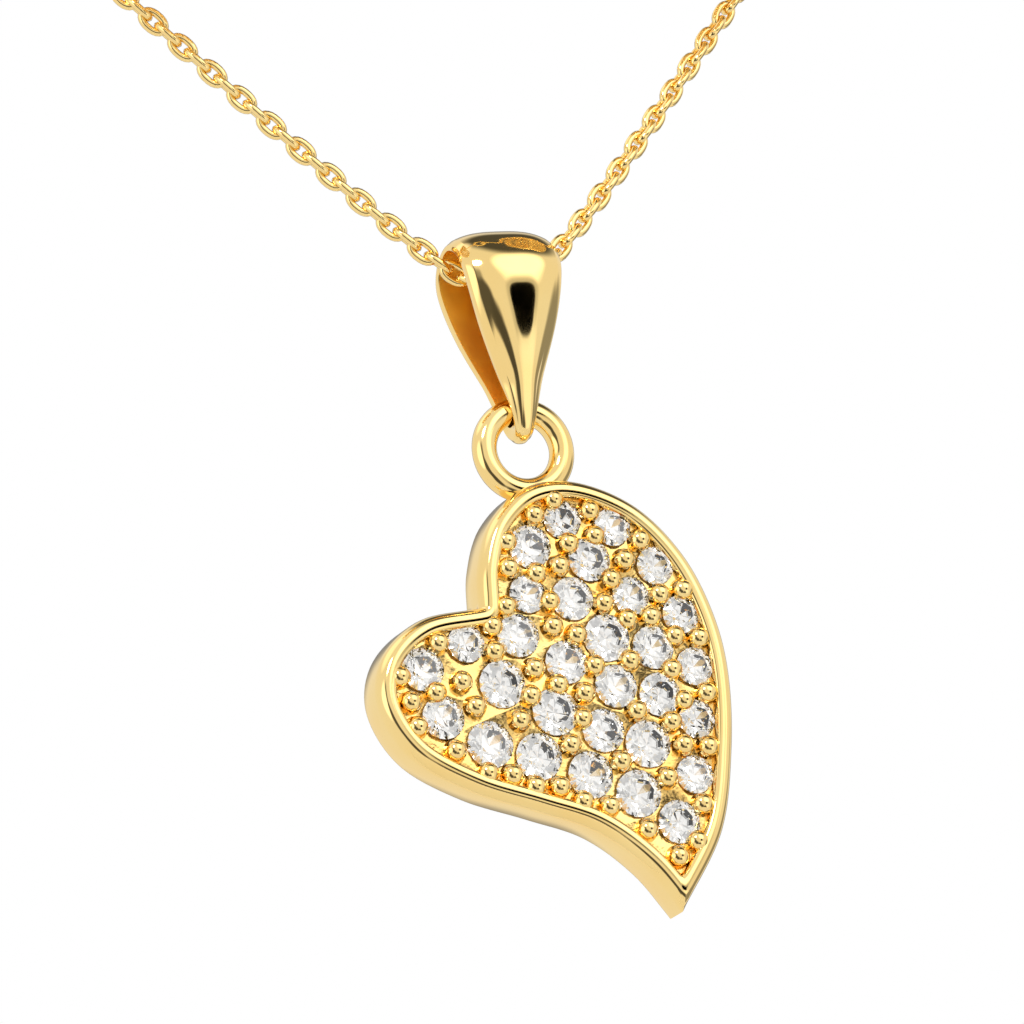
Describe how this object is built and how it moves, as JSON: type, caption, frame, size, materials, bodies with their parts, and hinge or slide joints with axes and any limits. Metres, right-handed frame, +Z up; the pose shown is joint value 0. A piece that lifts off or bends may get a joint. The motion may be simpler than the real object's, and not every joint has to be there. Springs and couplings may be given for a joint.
{
  "type": "pendant necklace",
  "caption": "Gold necklace with a lopsided heart pendant of pave-set clear stones, a tapered bail, a cable chain and a spring ring clasp.",
  "frame": {"origin": "middle of the horizontal display bar that the chain is wound round and hangs from, half way between the two windings", "axes": "+Z up, from the heart's tip towards the bar; -Y the way the stones face; +X to the right as the pendant is looked at from the front"},
  "size_m": [0.0282, 0.0104, 0.049],
  "materials": {
    "polished_gold": "mirror polished yellow gold",
    "clear_stone": "clear, facet cut and polished"
  },
  "bodies": {
    "chain": {"chain_left_run": "polished_gold", "chain_right_run": "polished_gold", "chain_left_coil": "polished_gold", "chain_right_coil": "polished_gold", "chain_left_tail": "polished_gold", "chain_right_tail": "polished_gold", "clasp_body": "polished_gold", "clasp_spring": "polished_gold", "clasp_eye": "polished_gold", "end_ring": "polished_gold"},
    "bail": {"bail": "polished_gold"},
    "heart": {"heart_casting": "polished_gold", "pendant_ring": "polished_gold", "stone_01": "clear_stone", "stone_02": "clear_stone", "stone_03": "clear_stone", "stone_04": "clear_stone", "stone_05": "clear_stone", "stone_06": "clear_stone", "stone_07": "clear_stone", "stone_08": "clear_stone", "stone_09": "clear_stone", "stone_10": "clear_stone", "stone_11": "clear_stone", "stone_12": "clear_stone", "stone_13": "clear_stone", "stone_14": "clear_stone", "stone_15": "clear_stone", "stone_16": "clear_stone", "stone_17": "clear_stone", "stone_18": "clear_stone", "stone_19": "clear_stone", "stone_20": "clear_stone", "stone_21": "clear_stone", "stone_22": "clear_stone", "stone_23": "clear_stone", "stone_24": "clear_stone", "stone_25": "clear_stone", "stone_26": "clear_stone", "stone_27": "clear_stone", "stone_28": "clear_stone", "stone_29": "clear_stone", "stone_30": "clear_stone"},
    "clasp_bolt": {"clasp_bolt": "polished_gold"}
  },
  "joints": [
    {"name": "bail_swing", "type": "hinge", "parent": "chain", "child": "bail", "pos_m": [0, 0.0013, -0.0172], "axis": [1, 0, 0], "range_deg": [-60, 60]},
    {"name": "heart_swing", "type": "hinge", "parent": "bail", "child": "heart", "pos_m": [0, 0.0013, -0.024], "axis": [0, 1, 0], "range_deg": [-35, 35]},
    {"name": "bolt_slide", "type": "hinge", "parent": "chain", "child": "clasp_bolt", "pos_m": [0, 0, 0.0054], "axis": [0, 0, 1], "range_deg": [0, 42], "stiffness_Nm_per_rad": 0.001, "springref_deg": -11.46}
  ]
}
